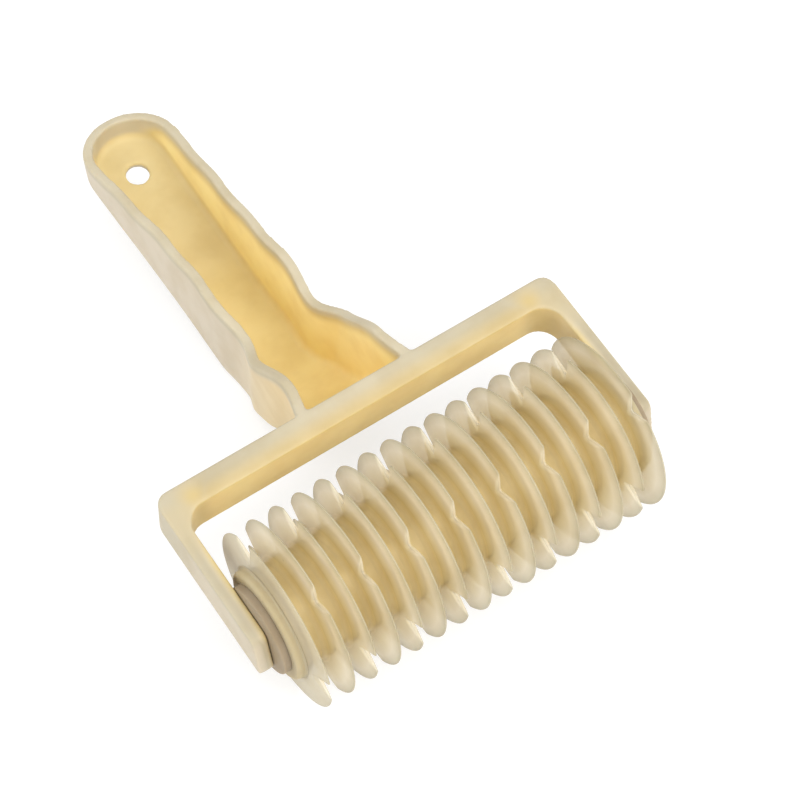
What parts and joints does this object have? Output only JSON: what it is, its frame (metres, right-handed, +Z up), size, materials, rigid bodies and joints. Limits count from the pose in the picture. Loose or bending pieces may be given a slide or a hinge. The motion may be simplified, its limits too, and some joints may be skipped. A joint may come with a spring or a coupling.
{
  "type": "lattice roller cutter",
  "caption": "Plastic lattice roller cutter for pastry: a trough-shaped handle with a yoke that holds a free-turning roller of thin, notched cutting discs.",
  "frame": {"origin": "on the table surface, at the centre of the object's box seen from above, with the roller and the back of the handle both resting on the table", "axes": "+X along the roller's axis, +Y from the roller towards the end of the handle, +Z up, the way the open side of the handle faces"},
  "size_m": [0.12, 0.1952, 0.0489],
  "materials": {
    "handle_plastic": "satin, slightly translucent cream",
    "disc_plastic": "satin, slightly translucent cream",
    "washer_plastic": "matte grey-brown"
  },
  "bodies": {
    "handle": {"handle_frame": "handle_plastic"},
    "roller": {"axle_shaft": "disc_plastic", "cutter_disc_01": "disc_plastic", "cutter_disc_02": "disc_plastic", "cutter_disc_03": "disc_plastic", "cutter_disc_04": "disc_plastic", "cutter_disc_05": "disc_plastic", "cutter_disc_06": "disc_plastic", "cutter_disc_07": "disc_plastic", "cutter_disc_08": "disc_plastic", "cutter_disc_09": "disc_plastic", "cutter_disc_10": "disc_plastic", "cutter_disc_11": "disc_plastic", "cutter_disc_12": "disc_plastic", "cutter_disc_13": "disc_plastic", "cutter_disc_14": "disc_plastic", "cutter_disc_15": "disc_plastic", "cutter_disc_16": "disc_plastic", "end_collar_left": "disc_plastic", "end_collar_right": "disc_plastic", "washer_left": "washer_plastic", "washer_right": "washer_plastic"}
  },
  "joints": [
    {"name": "roller_spin", "type": "hinge", "parent": "handle", "child": "roller", "pos_m": [0, -0.07318, 0.0245], "axis": [1, 0, 0], "continuous": true}
  ]
}
